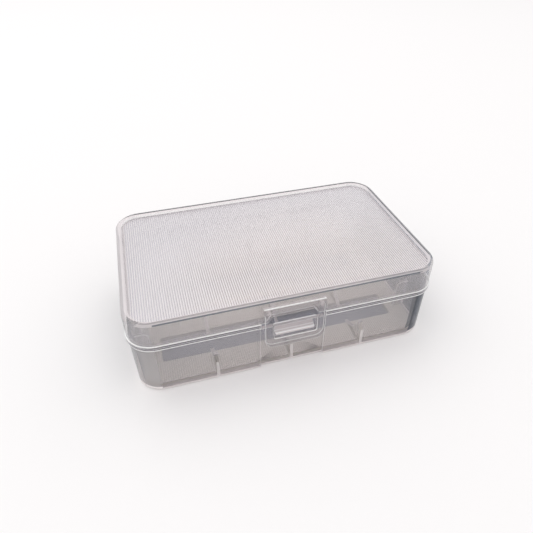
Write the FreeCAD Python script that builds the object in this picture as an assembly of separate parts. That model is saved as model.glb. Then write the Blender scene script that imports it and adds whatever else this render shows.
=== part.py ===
import FreeCAD, Part
import math
import os

os.makedirs("parts", exist_ok=True)
Vector = FreeCAD.Vector

# The case lies on its floor, long side along X, latch at -Y, hinge at +Y, origin at the middle of the
# underside. All sizes are in millimetres.

# Cells that the case is made for: two, side by side, lying along X
cell_diameter = 18.5
cell_length = 70.0
cell_gap = 6.7  # between the two cells
cell_side_play = 0.15  # around a cell in its cradle
cell_end_play = 0.1  # between a cell and each end stop
cell_wall_play = 0.3  # between a cell and the thickened wall behind the latch
head_room = 3.3  # above the cells, under the roof

# Shells
wall = 1.1
floor_thickness = 1.0
roof_thickness = 1.0
corner_radius = 6.4  # of the base, in plan
wall_lean = 0.15  # how far a wall of the base, or of the lid, leans over its height
bottom_rounding = 1.1
top_rounding = 1.0
inside_rounding = 0.5  # round the floor of the base
inside_bevel = 0.5  # round the underside of the roof
lid_height = 7.3
seam = 0.1  # between the base's rim and the lid's wall
overrun = 1.0  # how far a cutting shape runs past what it cuts
root = 0.25  # how deep an added rib, lug or pad is rooted in its wall

# Cradle plates across the base, and the stops at the cells' ends
plate_pitch = 19.6
plate_thickness = 1.0
plate_height = 7.0  # above the floor
plate_count = 3
stop_length = 3.3
stop_thickness = 0.9
stop_height = 9.1  # above the floor
stop_rounding = 1.6

# Skirt of the lid, which goes round a stepped-in rim on the base
lid_overhang = 0.25  # of the lid's wall past the base's wall
skirt_proud = 0.25  # of the skirt past the lid's wall
skirt_drop = 1.3  # below the lid's wall
skirt_rise = 0.25  # up the lid's wall
rim_inset = 0.4
skirt_play = 0.15  # between the skirt and the rim
skirt_step_gap = 0.2  # between the skirt's lower edge and the step under it
skirt_end_gap = 0.05  # between the skirt's end and the edge of the low rim

# Shallow recess in the base's front wall behind the latch, with the low rim over it
recess_half_width = 8.45
recess_depth = 0.55
recess_pad_overlap = 0.4  # of the thickened wall inside, past each side of the recess
low_rim_half_width = 8.3
low_rim_drop = 2.45  # below the rim
nub_width = 1.2
nub_height = 0.5
nub_depth = 0.45

# Latch: a flap that hangs from two hooks under a hood on the lid
pivot_out = 0.95  # from the lid's wall to the pivot axis
pivot_drop = 3.15  # from the top of the lid to the pivot axis
barrel_radius = 0.8
axle_radius = 0.35
axle_play = 0.05
flap_half_width = 7.7
flap_thickness = 1.1
flap_corner = 2.4
window_half_width = 5.45
window_height = 4.2
window_corner = 0.4
bar_height = 2.95  # of the flap under its window
bar_play = 0.55  # under the catch

# Hood over the flap, and the two hooks under it that the flap's axle snaps into
shelf_reach = 1.0
shelf_thickness = 0.4
shelf_play = 0.25  # between the shelf and the barrel
hook_inset = 0.5  # from the flap's end to the slot for a hook
hook_thickness = 0.9
hook_play = 0.15  # between a hook and each side of its slot
hook_foot = 1.0  # of a hook at the wall, below the pivot axis
hook_mouth = 0.6  # height of the opening that the axle is pushed through
slot_drop = 1.1  # of a slot below the pivot axis

# Notch in the lid's front wall, over the catch
notch_half_width = 5.3
notch_height = 1.55
notch_spread = 1.15  # how much wider the notch is at its mouth, at each side

# Catch: a stepped wedge on the base that stands in the flap's window
catch_half_width = 5.2
catch_taper = 0.4  # how much narrower it is at its underside, at each side
catch_height = 0.9
catch_lip_height = 0.6
catch_inset = 0.6  # between the front of the catch and the face of the flap
catch_steps = 3

# Hinge: lid knuckles between pairs of base ears, each group on its own pin
hinge_inset = 17.5  # from the end of the case to the middle of a hinge group
hinge_out = 1.6  # from the base's wall to the hinge axis
hinge_drop = 0.6  # from the skirt's lower edge to the hinge axis
knuckle_radius = 1.4
knuckle_length = 8.0
ear_length = 3.0
ear_top = 0.4  # of the flank of an ear at the wall, above the hinge axis
ear_foot = 2.7  # of the flank of an ear at the wall, below the hinge axis
knuckle_gap = 0.2
pin_radius = 0.8
pin_play = 0.05
pin_inset = 0.2  # of each pin end in its ear

# Worked out from the sizes above
inner_half_length = cell_length / 2 + cell_end_play + stop_length
inner_half_depth = cell_gap / 2 + cell_diameter + cell_wall_play + recess_depth
half_length = inner_half_length + wall
half_depth = inner_half_depth + wall
foot_half_length = half_length - wall_lean
foot_half_depth = half_depth - wall_lean
height = floor_thickness + cell_diameter + head_room + roof_thickness
base_height = height - lid_height - seam
lid_bottom = height - lid_height
cell_y = cell_gap / 2 + cell_diameter / 2
cell_z = floor_thickness + cell_diameter / 2
low_rim = base_height - low_rim_drop
recess_y = -(foot_half_depth - recess_depth)

lid_half_length = half_length + lid_overhang
lid_half_depth = half_depth + lid_overhang
lid_corner = corner_radius + lid_overhang
skirt_bottom = lid_bottom - skirt_drop
skirt_top = lid_bottom + skirt_rise

pivot_y = -(lid_half_depth + pivot_out)
pivot_z = height - pivot_drop
flap_front = pivot_y - barrel_radius
flap_back = flap_front + flap_thickness
catch_top = low_rim
catch_bottom = catch_top - catch_height
catch_front = flap_front + catch_inset
bar_top = catch_bottom - bar_play
flap_bottom = bar_top - bar_height
window_top = bar_top + window_height
shelf_bottom = pivot_z + barrel_radius + shelf_play
shelf_top = shelf_bottom + shelf_thickness
slot_outside = flap_half_width - hook_inset
slot_inside = slot_outside - 2 * hook_play - hook_thickness

hinge_y = half_depth + hinge_out
hinge_z = skirt_bottom - hinge_drop
hinge_centre = half_length - hinge_inset
quarter_turn = math.pi / 2
same_place = 1e-4  # two coordinates closer than this are one


def prism(points, run):
    return Part.Face(Part.makePolygon(points + points[:1])).extrude(run)


def box(first, last):
    size = last.sub(first)
    return Part.makeBox(size.x, size.y, size.z, first)


def rounded_outline(long_half, deep_half, radius, z):
    corners = [(1, 1), (-1, 1), (-1, -1), (1, -1)]
    bends = []
    for number, (side, end) in enumerate(corners):
        bend = []
        for turn in (number, number + 1 / 2, number + 1):
            x = side * (long_half - radius) + radius * math.cos(turn * quarter_turn)
            y = end * (deep_half - radius) + radius * math.sin(turn * quarter_turn)
            bend.append(Vector(x, y, z))
        bends.append(bend)
    edges = []
    for bend, following in zip(bends, bends[1:] + bends[:1]):
        edges.append(Part.Arc(*bend).toShape())
        edges.append(Part.LineSegment(bend[-1], following[0]).toShape())
    return Part.Wire(edges)


def tray(long_half, deep_half, radius, bottom, top, growth=0):
    """A block with rounded corners whose walls lean out by growth from bottom to top."""
    foot = rounded_outline(long_half, deep_half, radius, bottom)
    rim = rounded_outline(long_half + growth, deep_half + growth, radius + growth, top)
    return Part.makeLoft([foot, rim], True, True)


def flat_edges(shape, z):
    level = []
    for edge in shape.Edges:
        if all(abs(vertex.Z - z) < same_place for vertex in edge.Vertexes):
            level.append(edge)
    return level


def lug(axis_y, axis_z, radius, anchors, first_x, last_x):
    """A lug: two straight flanks from a wall run tangent into a round end about the axis."""
    angles = []
    for (y, z), side in zip(anchors, (1, -1)):
        reach = math.hypot(y - axis_y, z - axis_z)
        angles.append(math.atan2(z - axis_z, y - axis_y) + side * math.acos(radius / reach))
    start, stop = angles
    while stop < start:
        stop += 4 * quarter_turn
    bend = []
    for angle in (start, (start + stop) / 2, stop):
        bend.append(Vector(first_x, axis_y + radius * math.cos(angle), axis_z + radius * math.sin(angle)))
    first, last = [Vector(first_x, y, z) for y, z in anchors]
    outline = Part.Wire([
        Part.LineSegment(first, bend[0]).toShape(),
        Part.Arc(*bend).toShape(),
        Part.LineSegment(bend[-1], last).toShape(),
        Part.LineSegment(last, first).toShape(),
    ])
    return Part.Face(outline).extrude(Vector(last_x - first_x, 0, 0))


def rod(radius, first_x, last_x, y, z):
    return Part.makeCylinder(radius, last_x - first_x, Vector(first_x, y, z), Vector(1, 0, 0))


# Each hinge group has an ear, the lid's knuckle and an ear again, along X
def hinge_stations(centre):
    knuckle = (centre - knuckle_length / 2, centre + knuckle_length / 2)
    left_ear = (knuckle[0] - knuckle_gap - ear_length, knuckle[0] - knuckle_gap)
    right_ear = (knuckle[1] + knuckle_gap, knuckle[1] + knuckle_gap + ear_length)
    return knuckle, (left_ear, right_ear)


hinge_groups = {"left": -hinge_centre, "right": hinge_centre}


def cradle_plates():
    reach = inner_half_depth + root
    plates = []
    for number in range(plate_count):
        x = (number - (plate_count - 1) / 2) * plate_pitch
        first = Vector(x - plate_thickness / 2, -reach, floor_thickness - root)
        last = Vector(x + plate_thickness / 2, reach, floor_thickness + plate_height)
        plate = box(first, last)
        for y in (-cell_y, cell_y):
            room = cell_diameter / 2 + cell_side_play
            plate = plate.cut(rod(room, first.x - overrun, last.x + overrun, y, cell_z))
        plates.append(plate)
    return plates


def end_stops():
    stops = []
    for end in (-1, 1):
        for y in (-cell_y, cell_y):
            inner_x = end * (inner_half_length - stop_length)
            outer_x = end * (inner_half_length + root)
            xs = sorted((inner_x, outer_x))
            first = Vector(xs[0], y - stop_thickness / 2, floor_thickness - root)
            last = Vector(xs[1], y + stop_thickness / 2, floor_thickness + stop_height)
            stop = box(first, last)
            corner = [edge for edge in flat_edges(stop, last.z)
                      if all(abs(vertex.X - inner_x) < same_place for vertex in edge.Vertexes)]
            stops.append(stop.makeFillet(stop_rounding, corner))
    return stops


def recess_cutter():
    """What the recess takes off the front wall, rounded at the foot as the rest of the base is."""
    x = -recess_half_width
    outside = -(half_depth + overrun)
    lift = bottom_rounding * (1 - math.sin(quarter_turn / 2))
    bend = [
        Vector(x, recess_y, bottom_rounding),
        Vector(x, recess_y + lift, lift),
        Vector(x, recess_y + bottom_rounding, 0),
    ]
    outline = [Part.Arc(*bend).toShape()]
    top = base_height + overrun
    points = [bend[-1], Vector(x, recess_y + bottom_rounding, -overrun), Vector(x, outside, -overrun),
              Vector(x, outside, top), Vector(x, recess_y, top), bend[0]]
    for start, stop in zip(points, points[1:]):
        outline.append(Part.LineSegment(start, stop).toShape())
    return Part.Face(Part.Wire(outline)).extrude(Vector(2 * recess_half_width, 0, 0))


def catch():
    """A wedge that steps down and out from the low rim, with tapered sides."""
    behind = recess_y + root
    run = (recess_y - catch_front) / catch_steps
    drop = (catch_height - catch_lip_height) / catch_steps
    points = [Vector(-catch_half_width, behind, catch_bottom), Vector(-catch_half_width, behind, catch_top)]
    for step in range(catch_steps):
        y = recess_y - step * run
        z = catch_top - step * drop
        points.append(Vector(-catch_half_width, y - run / 2, z))
        points.append(Vector(-catch_half_width, y - run, z - drop))
    points.append(Vector(-catch_half_width, catch_front, catch_bottom))
    wedge = prism(points, Vector(2 * catch_half_width, 0, 0))
    low_half = catch_half_width - catch_taper
    sides = [
        Vector(-catch_half_width, catch_front - overrun, catch_top),
        Vector(catch_half_width, catch_front - overrun, catch_top),
        Vector(low_half, catch_front - overrun, catch_bottom),
        Vector(-low_half, catch_front - overrun, catch_bottom),
    ]
    return wedge.common(prism(sides, Vector(0, behind - catch_front + overrun, 0)))


def make_base():
    block = tray(foot_half_length, foot_half_depth, corner_radius - wall_lean, 0, base_height, wall_lean)
    block = block.makeFillet(bottom_rounding, flat_edges(block, 0))
    room = tray(foot_half_length - wall, foot_half_depth - wall, corner_radius - wall_lean - wall,
                floor_thickness, base_height, wall_lean)
    room = room.makeFillet(inside_rounding, flat_edges(room, floor_thickness))
    shell = block.cut(room)

    rim_zone = skirt_bottom - skirt_step_gap
    around = tray(half_length + overrun, half_depth + overrun, corner_radius + overrun, rim_zone,
                  base_height + overrun)
    kept = tray(half_length - rim_inset, half_depth - rim_inset, corner_radius - rim_inset,
                rim_zone - overrun, base_height + 2 * overrun)
    shell = shell.cut(around.cut(kept))

    pad_half = recess_half_width + recess_pad_overlap
    pad = box(Vector(-pad_half, -(foot_half_depth - root), floor_thickness - root),
              Vector(pad_half, recess_y + wall, base_height))
    shell = shell.multiFuse(cradle_plates() + end_stops() + [pad])
    shell = shell.cut(recess_cutter())

    pad_back = recess_y + wall
    low_part = box(Vector(-low_rim_half_width, -(half_depth + overrun), low_rim),
                   Vector(low_rim_half_width, pad_back + overrun, base_height + overrun))
    shell = shell.cut(low_part)
    nub = box(Vector(-nub_width / 2, pad_back - nub_depth, low_rim - root),
              Vector(nub_width / 2, pad_back, low_rim + nub_height))

    ears = []
    bores = []
    anchors = ((half_depth - root, hinge_z - ear_foot), (half_depth - root, hinge_z + ear_top))
    for centre in hinge_groups.values():
        knuckle, stations = hinge_stations(centre)
        for first_x, last_x in stations:
            ears.append(lug(hinge_y, hinge_z, knuckle_radius, anchors, first_x, last_x))
            bores.append(rod(pin_radius, first_x - knuckle_gap, last_x + knuckle_gap, hinge_y, hinge_z))
    shell = shell.multiFuse([catch(), nub] + ears)
    return shell.cut(Part.makeCompound(bores)).removeSplitter()


def make_lid():
    block = tray(lid_half_length, lid_half_depth, lid_corner, lid_bottom, height, -wall_lean)
    block = block.makeFillet(top_rounding, flat_edges(block, height))
    band = tray(lid_half_length + skirt_proud, lid_half_depth + skirt_proud, lid_corner + skirt_proud,
                skirt_bottom, skirt_top)
    step = rim_inset - skirt_play
    rim_room = tray(half_length - step, half_depth - step, corner_radius - step, skirt_bottom - overrun,
                    lid_bottom)
    room = tray(lid_half_length - wall, lid_half_depth - wall, lid_corner - wall, lid_bottom,
                height - roof_thickness, -wall_lean)
    room = room.makeChamfer(inside_bevel, flat_edges(room, height - roof_thickness))

    shell = block.fuse(band).cut(rim_room).cut(room)

    skirt_end = low_rim_half_width - skirt_end_gap
    front = -(lid_half_depth + skirt_proud + overrun)
    inside = -(lid_half_depth - wall - overrun)
    latch_gap = box(Vector(-skirt_end, front, skirt_bottom - overrun),
                    Vector(skirt_end, inside, lid_bottom))
    band_gap = box(Vector(-skirt_end, front, lid_bottom),
                   Vector(skirt_end, -lid_half_depth, skirt_top + overrun))
    mouth_half = notch_half_width + notch_spread
    notch = prism([
        Vector(-mouth_half, front, lid_bottom),
        Vector(-notch_half_width, front, lid_bottom + notch_height),
        Vector(notch_half_width, front, lid_bottom + notch_height),
        Vector(mouth_half, front, lid_bottom),
    ], Vector(0, inside - front, 0))
    shell = shell.cut(latch_gap).cut(band_gap).cut(notch)

    ear_rooms = []
    knuckles = []
    bores = []
    wall_face = lid_half_depth - root
    foot = (wall_face, skirt_bottom + skirt_step_gap)
    shoulder = (wall_face, skirt_top + skirt_rise)
    for centre in hinge_groups.values():
        knuckle, stations = hinge_stations(centre)
        knuckles.append(lug(hinge_y, hinge_z, knuckle_radius, (foot, shoulder), *knuckle))
        bores.append(rod(pin_radius + pin_play, knuckle[0] - knuckle_gap, knuckle[1] + knuckle_gap,
                         hinge_y, hinge_z))
        for first_x, last_x in stations:
            ear_rooms.append(box(
                Vector(first_x - knuckle_gap, lid_half_depth - wall - overrun, skirt_bottom - overrun),
                Vector(last_x + knuckle_gap, lid_half_depth + skirt_proud + overrun, lid_bottom)))
    shell = shell.cut(Part.makeCompound(ear_rooms))

    wall_front = -(lid_half_depth - root - wall_lean)
    shelf = box(Vector(-flap_half_width, -(lid_half_depth + shelf_reach), shelf_bottom),
                Vector(flap_half_width, wall_front, shelf_top))
    hook_anchors = ((wall_front, shelf_bottom), (wall_front, pivot_z - hook_foot))
    hooks = []
    for first_x, last_x in slots():
        hooks.append(lug(pivot_y, pivot_z, barrel_radius, hook_anchors, first_x + hook_play,
                         last_x - hook_play))
        bores.append(rod(axle_radius + axle_play, first_x, last_x, pivot_y, pivot_z))
        bores.append(box(Vector(first_x, pivot_y - overrun, pivot_z - hook_mouth / 2),
                         Vector(last_x, pivot_y, pivot_z + hook_mouth / 2)))
    shell = shell.multiFuse(knuckles + [shelf] + hooks)
    return shell.cut(Part.makeCompound(bores)).removeSplitter()


def slots():
    """Where the flap is slotted for a hook, along X."""
    return ((-slot_outside, -slot_inside), (slot_inside, slot_outside))


def make_latch():
    """A plate rolled round the pivot axis at its top, where two slots lay the axle bare."""
    x = -flap_half_width
    inner_angle = math.acos((flap_back - pivot_y) / barrel_radius)
    inner_z = pivot_z - barrel_radius * math.sin(inner_angle)
    roll = Part.Arc(Vector(x, flap_front, pivot_z), Vector(x, pivot_y, pivot_z + barrel_radius),
                    Vector(x, flap_back, inner_z)).toShape()
    points = [Vector(x, flap_back, inner_z), Vector(x, flap_back, flap_bottom),
              Vector(x, flap_front, flap_bottom), Vector(x, flap_front, pivot_z)]
    outline = [roll]
    for start, stop in zip(points, points[1:]):
        outline.append(Part.LineSegment(start, stop).toShape())
    flap = Part.Face(Part.Wire(outline)).extrude(Vector(2 * flap_half_width, 0, 0))

    corners = [edge for edge in flat_edges(flap, flap_bottom) if runs_along_y(edge)]
    flap = flap.makeFillet(flap_corner, corners)
    window = box(Vector(-window_half_width, flap_front - overrun, bar_top),
                 Vector(window_half_width, flap_back + overrun, window_top))
    window = window.makeFillet(window_corner, [edge for edge in window.Edges if runs_along_y(edge)])
    flap = flap.cut(window)
    past = barrel_radius + overrun
    for first_x, last_x in slots():
        flap = flap.cut(box(Vector(first_x, pivot_y - past, pivot_z - slot_drop),
                            Vector(last_x, pivot_y + past, pivot_z + past)))
    axle = rod(axle_radius, -slot_outside - root, slot_outside + root, pivot_y, pivot_z)
    return flap.fuse(axle).removeSplitter()


def runs_along_y(edge):
    first, last = edge.Vertexes[0].Point, edge.Vertexes[-1].Point
    return abs(first.y - last.y) > abs(first.x - last.x) + abs(first.z - last.z)


def make_pin(centre):
    knuckle, stations = hinge_stations(centre)
    first_x = stations[0][0] + pin_inset
    last_x = stations[1][1] - pin_inset
    return rod(pin_radius, first_x, last_x, hinge_y, hinge_z)


nodes = {"case_base": make_base(), "lid_shell": make_lid(), "latch_flap": make_latch()}
for side, centre in hinge_groups.items():
    nodes["hinge_pin_" + side] = make_pin(centre)

for name, shape in nodes.items():
    shape.exportStep("parts/" + name + ".step")
    extent = shape.BoundBox
    lows = [round(value, 2) for value in (extent.XMin, extent.YMin, extent.ZMin)]
    highs = [round(value, 2) for value in (extent.XMax, extent.YMax, extent.ZMax)]
    print(name, "solids", len(shape.Solids), "valid", shape.isValid(), "from", lows, "to", highs)
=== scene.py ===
import bpy
import bmesh
import math
from mathutils import Matrix, Vector


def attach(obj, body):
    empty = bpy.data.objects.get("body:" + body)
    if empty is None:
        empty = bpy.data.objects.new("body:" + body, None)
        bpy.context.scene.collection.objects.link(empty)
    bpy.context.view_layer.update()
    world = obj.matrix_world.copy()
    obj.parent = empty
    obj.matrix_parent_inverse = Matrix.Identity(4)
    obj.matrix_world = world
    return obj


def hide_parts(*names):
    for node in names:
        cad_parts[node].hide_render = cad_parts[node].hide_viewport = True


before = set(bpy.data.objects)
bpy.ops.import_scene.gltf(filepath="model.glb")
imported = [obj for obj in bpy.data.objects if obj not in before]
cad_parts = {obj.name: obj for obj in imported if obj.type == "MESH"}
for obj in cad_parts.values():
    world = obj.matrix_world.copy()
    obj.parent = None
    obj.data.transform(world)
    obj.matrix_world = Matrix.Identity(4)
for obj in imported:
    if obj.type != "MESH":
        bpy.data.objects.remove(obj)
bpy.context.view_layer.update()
mm = 0.001
print("frame loaded")

photoView = {
    "position": (-27.89, -99.56, 96.96),  # mm, from the corners of the case in the photo
    "level": 90.0,  # degrees from straight down, where a camera looks by itself, to level
    "pitchDown": 38.73,
    "yaw": -15.58,
    "roll": -0.52,
    "lens": 31.34,
    "sensor": 36.0,
    "near": 0.005,  # m
    "far": 10.0,
}


def makeCamera():
    camera = bpy.data.objects.new("photoCamera", bpy.data.cameras.new("photoCamera"))
    bpy.context.scene.collection.objects.link(camera)
    camera.data.lens = photoView["lens"]
    camera.data.sensor_width = photoView["sensor"]
    camera.data.clip_start = photoView["near"]
    camera.data.clip_end = photoView["far"]
    camera.matrix_world = (
        Matrix.Translation(Vector(photoView["position"]) * mm)
        @ Matrix.Rotation(math.radians(photoView["yaw"]), 4, "Z")
        @ Matrix.Rotation(math.radians(photoView["level"] - photoView["pitchDown"]), 4, "X")
        @ Matrix.Rotation(math.radians(photoView["roll"]), 4, "Z")
    )
    bpy.context.scene.camera = camera


makeCamera()
print("camera placed")

# the steps of a screen colour, which are undone to get amounts of light
screenCurve = {"limit": 0.04045, "slope": 12.92, "offset": 0.055, "scale": 1.055, "power": 2.4}


def linearLight(step):
    if step <= screenCurve["limit"]:
        return step / screenCurve["slope"]
    return ((step + screenCurve["offset"]) / screenCurve["scale"]) ** screenCurve["power"]


def hexColour(code):
    return (*[linearLight(step / 255) for step in bytes.fromhex(code[1:])], 1.0)


def addNode(tree, kind, links=(), **settings):
    node = tree.nodes.new(kind)
    for name, value in settings.items():
        if hasattr(node, name):
            setattr(node, name, value)
        else:
            node.inputs[name.replace("_", " ")].default_value = value
    for source, socket in links:
        tree.links.new(source, node.inputs[socket])
    return node


def newMaterial(name):
    material = bpy.data.materials.new(name)
    material.use_nodes = True
    material.node_tree.nodes.clear()
    return material, material.node_tree


def finishMaterial(tree, shader):
    addNode(tree, "ShaderNodeOutputMaterial", [(shader.outputs[0], "Surface")])


def mixByMask(tree, mask, low, high):
    return addNode(
        tree, "ShaderNodeMixShader", [(mask.outputs[0], 0), (low.outputs[0], 1), (high.outputs[0], 2)])


# how a sheet changes toward a glancing look: how steeply it mirrors more, and where its painted shade deepens
glancing = {"blend": 0.5, "power": 5.0, "deepFrom": 0.15, "deepTo": 0.5}


# share of light that a smooth sheet mirrors: little face on, most at a glancing look
def glossShare(tree, low, rise):
    facing = addNode(tree, "ShaderNodeLayerWeight", Blend=glancing["blend"])
    steep = addNode(tree, "ShaderNodeMath", [(facing.outputs["Facing"], 0)], operation="POWER")
    steep.inputs[1].default_value = glancing["power"]
    share = addNode(tree, "ShaderNodeMath", [(steep.outputs[0], 0)], operation="MULTIPLY_ADD")
    share.inputs[1].default_value = rise
    share.inputs[2].default_value = low
    return share


# tint of a wall, which deepens at a glancing look, where light has further to go in it; the deep blue grey is
# painted shade
def deepTint(tree, passed, look):
    facing = addNode(tree, "ShaderNodeLayerWeight", Blend=glancing["blend"])
    share = addNode(tree, "ShaderNodeMapRange", [(facing.outputs["Facing"], 0)])
    share.inputs["From Min"].default_value = glancing["deepFrom"]
    share.inputs["From Max"].default_value = glancing["deepTo"]
    tint = addNode(tree, "ShaderNodeMix", [(share.outputs[0], 0)], data_type="RGBA")
    tint.inputs[6].default_value = hexColour(look["tint"])  # 6 and 7 are the colours of a mix node
    tint.inputs[7].default_value = hexColour(look["deep"])
    tree.links.new(tint.outputs[2], passed.inputs["Color"])


# clear plastic: lets tinted light pass, scatters an amount of it as milk does, and mirrors the rest
def milkySheet(tree, look):
    passed = addNode(tree, "ShaderNodeBsdfTransparent", Color=hexColour(look["tint"]))
    if "deep" in look:
        deepTint(tree, passed, look)
    front = addNode(tree, "ShaderNodeBsdfDiffuse", Color=hexColour(look["haze"]))
    through = addNode(tree, "ShaderNodeBsdfTranslucent", Color=hexColour(look["haze"]))
    milky = addNode(
        tree, "ShaderNodeMixShader", [(front.outputs[0], 1), (through.outputs[0], 2)], Fac=look["glow"])
    body = addNode(
        tree, "ShaderNodeMixShader", [(passed.outputs[0], 1), (milky.outputs[0], 2)], Fac=look["amount"])
    gloss = addNode(tree, "ShaderNodeBsdfGlossy", Roughness=look["roughness"])
    share = glossShare(tree, look["mirror"], look.get("rise", 1.0 - look["mirror"]))
    return mixByMask(tree, share, body, gloss)


# a sheet of one look, with other looks laid over it where their masks are 1
def makePlastic(name, look, *overlays):
    material, tree = newMaterial(name)
    sheet = milkySheet(tree, look)
    for mask, places, over in overlays:
        sheet = mixByMask(tree, mask(tree, places), sheet, milkySheet(tree, over))
    finishMaterial(tree, sheet)
    return material


overAnyHeight = 1.0  # m, so that height drops out of a mask


# 1 outside a rectangle with rounded corners, or outside two of them that lie apart in y, 0 inside
def outsideField(tree, field):
    place = addNode(tree, "ShaderNodeTexCoord").outputs["Object"]

    def step(source, operation, vector=(0, 0, 0)):
        node = addNode(tree, "ShaderNodeVectorMath", [(source, 0)], operation=operation)
        node.inputs[1].default_value = vector
        return node.outputs["Value" if operation == "LENGTH" else "Vector"]

    middle = ((field["left"] + field["right"]) / 2 * mm, (field["front"] + field["back"]) / 2 * mm, 0)
    halfX, halfY = (field["right"] - field["left"]) / 2, (field["back"] - field["front"]) / 2
    if field["mirrored"]:
        place = step(place, "ABSOLUTE")
    folded = step(step(place, "SUBTRACT", middle), "ABSOLUTE")
    inner = ((halfX - field["corner"]) * mm, (halfY - field["corner"]) * mm, overAnyHeight)
    length = step(step(step(folded, "SUBTRACT", inner), "MAXIMUM"), "LENGTH")
    outside = addNode(tree, "ShaderNodeMath", [(length, 0)], operation="GREATER_THAN")
    outside.inputs[1].default_value = field["corner"] * mm
    return outside


# 0 near one spot of a sheet, rising to 1 away from it
def awayFrom(tree, fade):
    place = addNode(tree, "ShaderNodeTexCoord").outputs["Object"]
    moved = addNode(tree, "ShaderNodeVectorMath", [(place, 0)], operation="SUBTRACT")
    moved.inputs[1].default_value = (fade["x"] * mm, fade["y"] * mm, 0)
    scaled = addNode(tree, "ShaderNodeVectorMath", [(moved.outputs[0], 0)], operation="MULTIPLY")
    scaled.inputs[1].default_value = (1 / (fade["reachX"] * mm), 1 / (fade["reachY"] * mm), 0)
    length = addNode(tree, "ShaderNodeVectorMath", [(scaled.outputs[0], 0)], operation="LENGTH")
    share = addNode(
        tree, "ShaderNodeMapRange", [(length.outputs["Value"], 0)], interpolation_type="SMOOTHSTEP")
    share.inputs["From Min"].default_value = fade["start"]
    return share


# 1 where the height lies in one of the bands, 0 elsewhere
def insideBands(tree, bands):
    place = addNode(tree, "ShaderNodeTexCoord")
    parts = addNode(tree, "ShaderNodeSeparateXYZ", [(place.outputs["Object"], 0)])
    found = None
    for low, high in bands:
        band = addNode(tree, "ShaderNodeMath", [(parts.outputs["Z"], 0)], operation="COMPARE")
        band.inputs[1].default_value = (low + high) / 2 * mm
        band.inputs[2].default_value = (high - low) / 2 * mm
        found = band if found is None else addNode(
            tree, "ShaderNodeMath", [(found.outputs[0], 0), (band.outputs[0], 1)], operation="MAXIMUM")
    return found


# 1 in front of a cradle plate, where plate and wall are one thick lump, whitened further by a painted highlight, 0
# elsewhere
def insideBars(tree, bars):
    place = addNode(tree, "ShaderNodeTexCoord")
    parts = addNode(tree, "ShaderNodeSeparateXYZ", [(place.outputs["Object"], 0)])
    aside = addNode(tree, "ShaderNodeMath", [(parts.outputs["X"], 0)], operation="PINGPONG")
    aside.inputs[1].default_value = bars["pitch"] / 2 * mm
    near = addNode(tree, "ShaderNodeMath", [(aside.outputs[0], 0)], operation="LESS_THAN")
    near.inputs[1].default_value = bars["width"] / 2 * mm
    low = addNode(tree, "ShaderNodeMath", [(parts.outputs["Z"], 0)], operation="LESS_THAN")
    low.inputs[1].default_value = bars["top"] * mm
    return addNode(
        tree, "ShaderNodeMath", [(near.outputs[0], 0), (low.outputs[0], 1)], operation="MULTIPLY")


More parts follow.
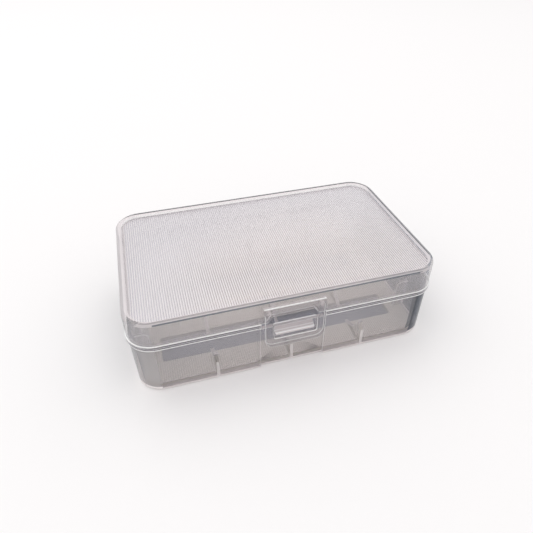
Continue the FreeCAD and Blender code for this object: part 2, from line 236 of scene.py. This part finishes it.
# tint colours what passes, haze what the given amount scatters, and glow is the share of it that goes on through;
# mirror is the share mirrored face on, and rise what a glancing look adds, up to the whole where it isn't given
wallSheet = {"glow": 0.4, "roughness": 0.12, "mirror": 0.03}
flatSheet = {"glow": 0.3, "roughness": 0.15, "mirror": 0.05}
whiteSheet = {"tint": "#ffffff", "glow": 0.3, "roughness": 0.3}
looks = {
    "baseWall": {**wallSheet, "tint": "#f8f7f8", "haze": "#f6f3f2", "amount": 0.15},
    "lidWall": {**wallSheet, "tint": "#faf9f9", "haze": "#faf5f5", "amount": 0.21},
    # painted shade: the grey of the skirt
    "skirt": {**wallSheet, "tint": "#d8d8db", "haze": "#d8d6d8", "amount": 0.06, "mirror": 0.02},
    "flap": {**wallSheet, "tint": "#f5f5f6", "haze": "#ece8e9", "amount": 0.04, "mirror": 0.02},
    # painted shade: the blue grey of the end walls, also laid on the right upright corners of the base
    "end": {**wallSheet, "tint": "#f1f2f4", "haze": "#c2c5cc", "amount": 0.1, "deep": "#8f96a1"},
    # painted shade: the grey of the upright corners, on the base and, lighter, on the lid
    "baseCornerShade": {**wallSheet, "tint": "#efeeee", "haze": "#eceaea", "amount": 0.3, "mirror": 0.04},
    "lidCornerShade": {**wallSheet, "tint": "#f3f3f4", "haze": "#f2eeef", "amount": 0.25, "mirror": 0.05},
    "plate": {**wallSheet, "tint": "#fefefe", "haze": "#f6f2f2", "amount": 0.02, "mirror": 0.01},
    # partly painted highlight: the white bar where a cradle plate meets the wall
    "barHighlight": {**wallSheet, "tint": "#f9f8f8", "haze": "#fbf7f6", "amount": 0.6},
    # painted sheen and painted shade on the rounding of the lid, picked by the way each face turns
    "round": {
        **wallSheet, "tint": "#ece9ea", "haze": "#f1eaeb", "glow": 0.3, "amount": 0.6, "mirror": 0.08},
    "frontRound": {
        **wallSheet, "tint": "#e4e2e4", "haze": "#e0dadc", "glow": 0.3, "amount": 0.4, "mirror": 0.05},
    "shade": {**wallSheet, "tint": "#aeb3ba", "haze": "#8f959c", "amount": 0.5, "rise": 0.08},
    "roof": {**flatSheet, "tint": "#fefefe", "haze": "#f6f2f2", "glow": 0.4, "amount": 0.03},
    # painted shade: the dark line round the edge of the roof
    "rim": {**flatSheet, "tint": "#a4a4a6", "haze": "#808184", "amount": 0.55, "mirror": 0.03, "rise": 0.08},
    "border": {**flatSheet, "tint": "#ece8e9", "haze": "#f9f2f3", "amount": 0.72},
    "ceiling": {**flatSheet, "tint": "#f3f2f3", "haze": "#f5e9e9", "amount": 0.62, "mirror": 0.02},
    # painted shade on the ceiling, away from the painted pool of light
    "ceilingShade": {
        **flatSheet, "tint": "#f3f2f3", "haze": "#d8d3da", "glow": 0.15, "amount": 0.92, "mirror": 0.02},
    "lane": {
        **flatSheet, "tint": "#e8eaee", "haze": "#d8d6d9", "glow": 0.4, "amount": 0.05, "mirror": 0.03},
    "ribbed": {
        **flatSheet, "tint": "#f2f0ee", "haze": "#f8f4ed", "glow": 0.1, "amount": 0.8, "mirror": 0.03},
    # partly painted highlight: the white band round the bottom, where the floor meets the walls
    "foot": {
        **whiteSheet, "haze": "#fff8f8", "glow": 0.2, "amount": 0.93, "roughness": 0.2, "mirror": 0.18},
    # partly painted highlight: the white of solid lumps, the top of the low rim and the ends of the plates
    "catch": {**whiteSheet, "haze": "#f0e9ea", "amount": 0.8, "roughness": 0.2, "mirror": 0.06},
    # painted highlight: the near-white look of the edge lines
    "edge": {**whiteSheet, "haze": "#fefcfc", "glow": 0.1, "amount": 0.96, "mirror": 0.7},
    "roofRib": {**whiteSheet, "haze": "#fdf9fa", "amount": 0.97, "mirror": 0.1},
    "floorRib": {**whiteSheet, "haze": "#faf5ef", "glow": 0.1, "amount": 0.9, "mirror": 0.04},
}

# mm, where one sheet changes its look
fields = {
    "roof": {"left": -37.9, "right": 37.5, "front": -23.2, "back": 21.7, "corner": 5.0, "mirrored": False},
    "rim": {"left": -39.0, "right": 38.4, "front": -27.0, "back": 22.5, "corner": 5.4, "mirrored": False},
    "ceiling": {
        "left": -37.55, "right": 38.2, "front": -22.5, "back": 22.35, "corner": 4.8, "mirrored": False},
    "floor": {"left": -37.9, "right": 37.9, "front": -21.9, "back": 21.5, "corner": 4.2, "mirrored": False},
    "lanes": {"left": -32.9, "right": 32.9, "front": 6.7, "back": 15.4, "corner": 0.8, "mirrored": True},
}
# the painted pool of light on the ceiling: its middle, how far it reaches, and where the shade starts
ceilingLightPool = {"x": 8.0, "y": -16.0, "reachX": 48.0, "reachY": 40.0, "start": 0.35}
bands = {"skirt": [(15.15, 15.55), (16.52, 16.8)], "wallFoot": [(-0.1, 1.0)], "cornerFoot": [(-0.1, 1.5)]}
plateBars = {"pitch": 19.6, "width": 0.8, "top": 6.2}

plastics = {
    # walls of the lid, milkier than those of the base
    "lidWall": makePlastic("clearPolystyreneLid", looks["lidWall"]),
    # skirt greyed with painted shade where the lid overlaps the base, with two painted highlight lines round it
    "skirt": makePlastic("polystyreneSkirtShadeAndHighlight", looks["skirt"], (insideBands, bands["skirt"], looks["edge"])),
    # thin cradle plates, all but clear
    "plate": makePlastic("clearPolystyrenePlate", looks["plate"]),
    # clear walls with a white bar before each cradle plate and a milky foot, both partly painted highlight
    "baseWall": makePlastic(
        "clearPolystyreneBase", looks["baseWall"], (insideBars, plateBars, looks["barHighlight"]),
        (insideBands, bands["wallFoot"], looks["foot"])),
    # thin clear flap
    "flap": makePlastic("clearPolystyreneFlap", looks["flap"]),
    # end walls, with painted shade: a blue grey that darkens at a glancing look
    "end": makePlastic("polystyreneEndShade", looks["end"], (insideBands, bands["cornerFoot"], looks["foot"])),
    # upright corners of the base, greyed with painted shade; the right ones take the end look instead
    "baseCornerShade": makePlastic(
        "polystyreneCornerShade", looks["baseCornerShade"], (insideBands, bands["cornerFoot"], looks["foot"])),
    # painted shade on the upright corners of the lid, lighter
    "lidCornerShade": makePlastic("polystyreneLidCornerShade", looks["lidCornerShade"]),
    # rounding all round the lid, paled with painted sheen
    "round": makePlastic("polystyreneRoundingSheen", looks["round"]),
    # less painted sheen at the front, so that the rib ends show through
    "frontRound": makePlastic("polystyreneFrontRoundingSheen", looks["frontRound"]),
    # painted shade: a dark line where the rounding turns into the wall, and on the upper rounding at the back and
    # right
    "shade": makePlastic("polystyreneShade", looks["shade"]),
    # painted highlight: moulded edges painted as fine white lines, for the light that they catch
    "line": makePlastic("polystyreneEdgeHighlight", looks["edge"]),
    # solid lumps, which look whiter than thin walls, partly for their thickness and partly by a painted highlight,
    # also laid on the top of the low rim and the ends of the cradle plates
    "catch": makePlastic("polystyreneCatchAndHighlight", looks["catch"]),
    # clear roof with a milky border, and outside it a dark line of painted shade
    "roof": makePlastic(
        "polystyreneRoof", looks["roof"], (outsideField, fields["roof"], looks["border"]),
        (outsideField, fields["rim"], looks["rim"])),
    # its ribbed underside, with a painted pool of light near the middle of the front and painted shade away from
    # there
    "ceiling": makePlastic(
        "polystyreneCeiling", looks["ceiling"], (awayFrom, ceilingLightPool, looks["ceilingShade"]),
        (outsideField, fields["ceiling"], looks["border"])),
    # milky floor with two smooth clear lanes in it
    "floor": makePlastic(
        "polystyreneFloor", looks["lane"], (outsideField, fields["lanes"], looks["ribbed"]),
        (outsideField, fields["floor"], looks["border"])),
}
# fine ribs, whiter than the sheet that they stand on, and a little warmer on the floor
roofRibPlastic = makePlastic("polystyreneRoofRib", looks["roofRib"])
floorRibPlastic = makePlastic("polystyreneFloorRib", looks["floorRib"])
wireLook = {"colour": "#c9c9cc", "roughness": 0.32}


# drawn wire, a soft grey shine
def makePinSteel():
    material, tree = newMaterial("drawnSteelWire")
    finishMaterial(tree, addNode(
        tree, "ShaderNodeBsdfPrincipled", Base_Color=hexColour(wireLook["colour"]), Metallic=1.0,
        Roughness=wireLook["roughness"]))
    return material


pinSteel = makePinSteel()
print("materials made")

# how a face lies, told by its normal: flat, square to a side, more level than upright, or turned from both sides
lie = {"flat": 0.995, "square": 0.95, "level": 0.5, "turned": 0.1}
walls = {"endX": 38.0, "cornerX": 30.0}  # mm, as are all places below


def within(value, span):
    return span[0] < value < span[1]


def onEnd(at, normal):
    return abs(at.x) > walls["endX"] and abs(normal.x) > lie["square"]


def onCorner(at, normal):
    return min(abs(normal.x), abs(normal.y)) > lie["turned"] and abs(at.x) > walls["cornerX"]


lidPlaces = {"roofZ": 22.7, "skirtZ": (15.2, 16.75), "ledgeZ": 0.06, "hoodZ": 21.6, "hoodY": -24.9}
# where the rounding starts, and the parts of a normal at which its look changes between painted sheen and painted
# shade
lidRound = {
    "z": 22.82, "x": 38.45, "y": 22.75, "frontX": 36.5, "frontY": -22.9, "roof": 0.9, "clear": 0.66,
    "foot": 0.42, "footAside": 0.05, "away": 0.3, "awayTop": 0.65,
}


# look of a rounding face by the way it turns: painted sheen, with painted shade at the foot of the front and on
# the upper faces turned away
def roundFinish(at, normal):
    if at.y < lidRound["frontY"] and abs(at.x) < lidRound["frontX"]:
        if normal.z > lidRound["roof"]:
            return "roof"
        if normal.z > lidRound["clear"]:
            return "frontRound"
        foot = normal.z < lidRound["foot"] and abs(normal.x) < lidRound["footAside"]
        return "shade" if foot else "round"
    away = normal.x > lidRound["away"] or normal.y > lidRound["away"]
    return "shade" if away and normal.z > lidRound["awayTop"] else "round"


def lidFinish(at, normal):
    if at.z > lidPlaces["roofZ"] and abs(normal.z) > lie["flat"]:
        return "roof" if normal.z > 0 else "ceiling"
    if at.z > lidRound["z"] and (abs(at.y) > lidRound["y"] or abs(at.x) > lidRound["x"]):
        return roundFinish(at, normal)
    outward = at.x * normal.x + at.y * normal.y > 0
    if outward and within(at.z, lidPlaces["skirtZ"]) and abs(normal.z) < lie["level"]:
        return "skirt"
    # painted highlight line on the ledge atop the skirt, and below on the hood's front lip
    if abs(normal.z) > lie["level"]:
        return "line" if abs(at.z - lidPlaces["skirtZ"][1]) < lidPlaces["ledgeZ"] else "lidWall"
    if at.z > lidPlaces["hoodZ"] and at.y < lidPlaces["hoodY"]:
        return "line"
    # the lid's end walls take the painted shade of the end look
    if onEnd(at, normal):
        return "end"
    # upright corners of the lid get painted shade
    return "lidCornerShade" if onCorner(at, normal) else "lidWall"


# share of the full painted highlight line that an edge gets: none on the skirt's step, the roof and the hooks,
# most round the notch
lidLines = {
    "stepZ": (16.4, 16.6), "roofZ": 22.0, "roofY": -24.5, "hookX": 5.9, "hookY": -24.2, "hookZ": (17.5, 21.6),
    "notchX": 6.6, "notchY": -22.5, "notchZ": (16.6, 18.3), "none": 0.0, "notch": 1.0, "usual": 0.5,
}


def lidLine(at):
    if within(at.z, lidLines["stepZ"]) or (at.z > lidLines["roofZ"] and at.y > lidLines["roofY"]):
        return lidLines["none"]
    if abs(at.x) > lidLines["hookX"] and at.y < lidLines["hookY"] and within(at.z, lidLines["hookZ"]):
        return lidLines["none"]
    notch = abs(at.x) < lidLines["notchX"] and at.y < lidLines["notchY"] and within(at.z, lidLines["notchZ"])
    return lidLines["notch"] if notch else lidLines["usual"]


basePlaces = {
    "floorZ": 1.1, "catchX": 5.3, "catchY": -24.0, "catchZ": (13.0, 14.0), "lip": (0.9, 0.99),
    "lowRimZ": (13.8, 14.0), "top": 0.9,
}
plateZone = {"x": 21.0, "y": 22.6, "z": (1.05, 8.5), "aside": 0.62}


def onPlate(at):
    aside = abs(at.x - round(at.x / plateBars["pitch"]) * plateBars["pitch"])
    inside = abs(at.x) < plateZone["x"] and abs(at.y) < plateZone["y"] and within(at.z, plateZone["z"])
    return inside and aside < plateZone["aside"]


def baseFinish(at, normal):
    if at.z < basePlaces["floorZ"] and abs(normal.z) > lie["flat"]:
        return "floor"
    nearCatch = at.y < basePlaces["catchY"] and abs(at.x) < basePlaces["catchX"]
    # the catch, whiter as a lump with a painted highlight, and a painted highlight line on its lip
    if nearCatch and within(at.z, basePlaces["catchZ"]):
        return "line" if within(normal.z, basePlaces["lip"]) else "catch"
    # painted highlight on the top of the low rim
    if normal.z > basePlaces["top"] and within(at.z, basePlaces["lowRimZ"]):
        return "catch"
    # the tops and ends of the cradle plates take the catch look with its painted highlight
    if onPlate(at):
        return "catch" if abs(normal.x) < lie["level"] else "plate"
    if onEnd(at, normal):
        return "end"
    if abs(normal.z) < lie["level"] and onCorner(at, normal):
        # the right upright corners take the painted shade of the end walls
        return "end" if at.x > 0 else "baseCornerShade"
    return "baseWall"


# painted highlight lines: the full line on top of the end stops, a hair on the rim under the lid
baseLines = {"stopX": 34.8, "stopZ": (8.0, 10.4), "rimZ": 16.2, "stop": 1.0, "rim": 0.15, "usual": 0.4}


def baseLine(at):
    if abs(at.x) > baseLines["stopX"] and within(at.z, baseLines["stopZ"]):
        return baseLines["stop"]
    return baseLines["rim"] if at.z > baseLines["rimZ"] else baseLines["usual"]


def flapFinish(at, normal):
    return "flap"


# painted highlight lines: none on the roll, which turns close under the hood, and a wide one over the window
flapLines = {"rollZ": 19.0, "windowX": 5.6, "windowZ": 16.0, "roll": 0.0, "window": 0.9, "usual": 0.5}


def flapLine(at):
    if at.z > flapLines["rollZ"]:
        return flapLines["roll"]
    overWindow = at.z > flapLines["windowZ"] and abs(at.x) < flapLines["windowX"]
    return flapLines["window"] if overWindow else flapLines["usual"]


# merge in m, crease in degrees, line in mm, and how strongly flat faces keep their shading
shellCopy = {"merge": 1e-6, "crease": 35.0, "line": 0.24, "lineSteps": 2, "flatWeight": 80}


# a copy of the imported solid, with a look for each face and a fine bevel as the painted white highlight line of
# each edge
def dressedShell(nodeName, body, finish, line):
    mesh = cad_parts[nodeName].data.copy()
    mesh.transform(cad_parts[nodeName].matrix_world)
    mesh.materials.clear()
    names = list(plastics)
    work = bmesh.new()
    work.from_mesh(mesh)
    bmesh.ops.remove_doubles(work, verts=work.verts, dist=shellCopy["merge"])
    weights = work.edges.layers.float.new("bevel_weight_edge")
    for edge in work.edges:
        sharp = edge.calc_face_angle(0) > math.radians(shellCopy["crease"])
        middle = (edge.verts[0].co + edge.verts[1].co) / (2 * mm)
        edge[weights] = line(middle) if sharp and edge.is_convex else 0.0
        edge.smooth = not sharp or edge[weights] > 0
    for face in work.faces:
        face.smooth = True
        face.material_index = names.index(finish(face.calc_center_bounds() / mm, face.normal))
    work.to_mesh(mesh)
    work.free()
    for name in names:
        mesh.materials.append(plastics[name])
    piece = bpy.data.objects.new(nodeName + "Dressed", mesh)
    bpy.context.scene.collection.objects.link(piece)
    bevel = piece.modifiers.new("edgeHighlightLines", "BEVEL")
    bevel.width = shellCopy["line"] * mm
    bevel.segments = shellCopy["lineSteps"]
    bevel.limit_method = "WEIGHT"
    bevel.use_clamp_overlap = False
    bevel.material = names.index("line")
    weighted = piece.modifiers.new("flatFaces", "WEIGHTED_NORMAL")
    weighted.weight = shellCopy["flatWeight"]
    weighted.keep_sharp = True
    graph = bpy.context.evaluated_depsgraph_get()
    piece.data = bpy.data.meshes.new_from_object(piece.evaluated_get(graph))
    piece.modifiers.clear()
    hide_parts(nodeName)
    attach(piece, body)


dressedShell("case_base", "base", baseFinish, baseLine)
dressedShell("lid_shell", "lid", lidFinish, lidLine)
dressedShell("latch_flap", "latch", flapFinish, flapLine)
for side in ("left", "right"):
    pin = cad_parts["hinge_pin_" + side]
    pin.data.materials.clear()
    pin.data.materials.append(pinSteel)
print("shells dressed")

ribField = {"pitch": 0.576, "width": 0.34, "depth": 0.2, "stretches": 5, "sides": 8}


# a row of flat ribs along y, drawn in at the corners and left out at the cradle plates
def makeRibTree():
    tree = bpy.data.node_groups.new("ribField", "GeometryNodeTree")
    tree.interface.new_socket("Geometry", in_out="OUTPUT", socket_type="NodeSocketGeometry")
    tree.interface.new_socket("Count", in_out="INPUT", socket_type="NodeSocketInt")
    for name in ("First X", "Pitch", "Front Y", "Back Y", "Outer X", "Corner", "Level", "Width", "Depth",
                 "Plate Pitch", "Plate Clearance"):
        tree.interface.new_socket(name, in_out="INPUT", socket_type="NodeSocketFloat")
    tree.interface.new_socket("Material", in_out="INPUT", socket_type="NodeSocketMaterial")
    given = addNode(tree, "NodeGroupInput")
    put = {socket.name: socket for socket in given.outputs if socket.name}

    def maths(operation, *values):
        node = addNode(tree, "ShaderNodeMath", operation=operation)
        for place, value in enumerate(values):
            if isinstance(value, (int, float)):
                node.inputs[place].default_value = value
            else:
                tree.links.new(value, node.inputs[place])
        return node.outputs[0]

    def position():
        return addNode(tree, "ShaderNodeSeparateXYZ", [(addNode(tree, "GeometryNodeInputPosition").outputs[0], 0)])

    start = addNode(tree, "ShaderNodeCombineXYZ", [(put["First X"], "X")])
    step = addNode(tree, "ShaderNodeCombineXYZ", [(put["Pitch"], "X")])
    row = addNode(
        tree, "GeometryNodeMeshLine",
        [(put["Count"], "Count"), (start.outputs[0], "Start Location"), (step.outputs[0], "Offset")],
        mode="OFFSET")
    x = position().outputs["X"]
    nearest = maths("MULTIPLY", maths("ROUND", maths("DIVIDE", x, put["Plate Pitch"])), put["Plate Pitch"])
    blocked = maths("LESS_THAN", maths("ABSOLUTE", maths("SUBTRACT", x, nearest)), put["Plate Clearance"])
    kept = addNode(
        tree, "GeometryNodeDeleteGeometry", [(row.outputs[0], "Geometry"), (blocked, "Selection")],
        domain="POINT")
    straight = addNode(tree, "GeometryNodeCurvePrimitiveLine", Start=(0, 0, 0), End=(0, 1, 0))
    parts = addNode(
        tree, "GeometryNodeResampleCurve", [(straight.outputs[0], "Curve")], Count=ribField["stretches"] + 1)
    many = addNode(
        tree, "GeometryNodeInstanceOnPoints", [(kept.outputs[0], "Points"), (parts.outputs[0], "Instance")])
    real = addNode(tree, "GeometryNodeRealizeInstances", [(many.outputs[0], 0)])
    reach = position()
    ribX, along = reach.outputs["X"], reach.outputs["Y"]
    cornerX = maths("SUBTRACT", put["Outer X"], put["Corner"])
    past = maths("MAXIMUM", maths("SUBTRACT", maths("ABSOLUTE", ribX), cornerX), 0)
    square = maths("SUBTRACT", maths("MULTIPLY", put["Corner"], put["Corner"]), maths("MULTIPLY", past, past))
    drawn = maths("SUBTRACT", put["Corner"], maths("SQRT", maths("MAXIMUM", square, 0)))
    front = maths("ADD", put["Front Y"], drawn)
    back = maths("SUBTRACT", put["Back Y"], drawn)
    y = maths("ADD", front, maths("MULTIPLY", maths("SUBTRACT", back, front), along))
    spot = addNode(tree, "ShaderNodeCombineXYZ", [(ribX, "X"), (y, "Y"), (put["Level"], "Z")])
    laid = addNode(
        tree, "GeometryNodeSetPosition", [(real.outputs[0], "Geometry"), (spot.outputs[0], "Position")])
    half = maths("DIVIDE", put["Width"], 2)
    ring = addNode(tree, "GeometryNodeCurvePrimitiveCircle", [(half, "Radius")], Resolution=ribField["sides"])
    solid = addNode(
        tree, "GeometryNodeCurveToMesh", [(laid.outputs[0], "Curve"), (ring.outputs[0], "Profile Curve")],
        Fill_Caps=True)
    shape = position()
    squash = maths("DIVIDE", put["Depth"], put["Width"])
    above = maths("SUBTRACT", shape.outputs["Z"], put["Level"])
    z = maths("ADD", put["Level"], maths("MULTIPLY", above, squash))
    flatSpot = addNode(
        tree, "ShaderNodeCombineXYZ", [(shape.outputs["X"], "X"), (shape.outputs["Y"], "Y"), (z, "Z")])
    flat = addNode(
        tree, "GeometryNodeSetPosition", [(solid.outputs[0], "Geometry"), (flatSpot.outputs[0], "Position")])
    smooth = addNode(tree, "GeometryNodeSetShadeSmooth", [(flat.outputs[0], "Geometry")])
    whole = addNode(tree, "GeometryNodeRealizeInstances", [(smooth.outputs[0], 0)])
    painted = addNode(
        tree, "GeometryNodeSetMaterial", [(whole.outputs[0], "Geometry"), (put["Material"], "Material")])
    addNode(tree, "NodeGroupOutput", [(painted.outputs[0], 0)])
    return tree


ribTree = makeRibTree()


def ribMesh(field, material):
    holder = bpy.data.objects.new("ribs", bpy.data.meshes.new("ribs"))
    bpy.context.scene.collection.objects.link(holder)
    modifier = holder.modifiers.new("ribs", "NODES")
    modifier.node_group = ribTree
    values = {
        "Count": field["count"], "First X": field["firstX"] * mm, "Pitch": ribField["pitch"] * mm,
        "Front Y": field["front"] * mm, "Back Y": field["back"] * mm, "Outer X": field["outerX"] * mm,
        "Corner": field["corner"] * mm, "Level": field["level"] * mm, "Width": ribField["width"] * mm,
        "Depth": ribField["depth"] * mm, "Plate Pitch": plateBars["pitch"] * mm,
        "Plate Clearance": field["plateClearance"] * mm, "Material": material,
    }
    for item in ribTree.interface.items_tree:
        if item.in_out == "INPUT":
            modifier[item.identifier] = values[item.name]
    graph = bpy.context.evaluated_depsgraph_get()
    mesh = bpy.data.meshes.new_from_object(holder.evaluated_get(graph))
    bpy.data.objects.remove(holder)
    return mesh


def ribPiece(name, rows, body, material):
    work = bmesh.new()
    for field in rows:
        work.from_mesh(ribMesh(field, material))
    mesh = bpy.data.meshes.new(name)
    work.to_mesh(mesh)
    work.free()
    mesh.materials.append(material)
    piece = bpy.data.objects.new(name, mesh)
    bpy.context.scene.collection.objects.link(piece)
    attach(piece, body)
    print(name, len(mesh.polygons), "faces")


# place of the first rib, in steps from the middle of the case, and number of ribs
ribRuns = {"roof": (-65, 132), "middle": (-57, 115), "right": (58, 8), "left": (-65, 8)}


def ribRun(name):
    first, count = ribRuns[name]
    return {"firstX": first * ribField["pitch"], "count": count}


levels = {"roof": 22.8, "floor": 1.03}
floorField, laneField = fields["floor"], fields["lanes"]
roofRow = {
    **ribRun("roof"), "front": -22.3, "back": 22.3, "outerX": 38.2, "corner": 5.0, "level": levels["roof"],
    "plateClearance": 0.0,
}
# the middle rows lie between the rounded corners, so they have none, and keep clear of the plates
middleRow = {
    **ribRun("middle"), "outerX": 100.0, "corner": 0.0, "level": levels["floor"], "plateClearance": 0.55}
middleRows = [
    {**middleRow, "front": floorField["front"], "back": -laneField["back"]},
    {**middleRow, "front": -laneField["front"], "back": laneField["front"]},
    {**middleRow, "front": laneField["back"], "back": floorField["back"]},
]
endRow = {
    "front": floorField["front"], "back": floorField["back"], "outerX": floorField["right"],
    "corner": floorField["corner"], "level": levels["floor"], "plateClearance": 0.0,
}
endRows = [{**endRow, **ribRun("right")}, {**endRow, **ribRun("left")}]
ribPiece("roofRibs", [roofRow], "lid", roofRibPlastic)
ribPiece("floorRibs", middleRows + endRows, "base", floorRibPlastic)
print("ribs made")

stage = {
    "size": 3.0,  # m
    "gap": 0.1,  # mm under the case, as two faces in one plane would mix
    "floor": "#f4f2f2",
    "roomLight": 0.9,
    "roomSeen": 1.0,
    "lampPower": 3.6,
    "lampSize": (1.4, 1.2),
    "lampPlace": (-0.2, 0.25, 1.0),
    "facesSeenThrough": 32,  # a look through the case meets up to thirty
}


def makeFloor():
    half = stage["size"] / 2
    low = -stage["gap"] * mm
    mesh = bpy.data.meshes.new("studioFloor")
    mesh.from_pydata(
        [(-half, -half, low), (half, -half, low), (half, half, low), (-half, half, low)], [], [(0, 1, 2, 3)])
    floor = bpy.data.objects.new("studioFloor", mesh)
    bpy.context.scene.collection.objects.link(floor)
    material, tree = newMaterial("paleFloor")
    finishMaterial(tree, addNode(tree, "ShaderNodeBsdfDiffuse", Color=hexColour(stage["floor"])))
    mesh.materials.append(material)


# a room that is white to look at and in mirrors, and lights the case a little less
def makeRoom():
    world = bpy.data.worlds.new("softRoom")
    bpy.context.scene.world = world
    world.use_nodes = True
    tree = world.node_tree
    tree.nodes.clear()
    path = addNode(tree, "ShaderNodeLightPath")
    seen = addNode(
        tree, "ShaderNodeMath", [(path.outputs["Is Camera Ray"], 0), (path.outputs["Is Glossy Ray"], 1)],
        operation="MAXIMUM")
    white = hexColour("#ffffff")
    light = addNode(tree, "ShaderNodeBackground", Color=white, Strength=stage["roomLight"])
    backdrop = addNode(tree, "ShaderNodeBackground", Color=white, Strength=stage["roomSeen"])
    both = mixByMask(tree, seen, light, backdrop)
    addNode(tree, "ShaderNodeOutputWorld", [(both.outputs[0], "Surface")])


def makeLamp():
    lamp = bpy.data.lights.new("softbox", "AREA")
    lamp.shape = "RECTANGLE"
    lamp.size, lamp.size_y = stage["lampSize"]
    lamp.energy = stage["lampPower"]
    box = bpy.data.objects.new("softbox", lamp)
    bpy.context.scene.collection.objects.link(box)
    box.location = stage["lampPlace"]
    box.rotation_euler = (-box.location).to_track_quat("-Z", "Y").to_euler()


makeFloor()
makeRoom()
makeLamp()
bpy.context.scene.cycles.transparent_max_bounces = stage["facesSeenThrough"]
bpy.context.scene.view_settings.view_transform = "Standard"
print("stage made")
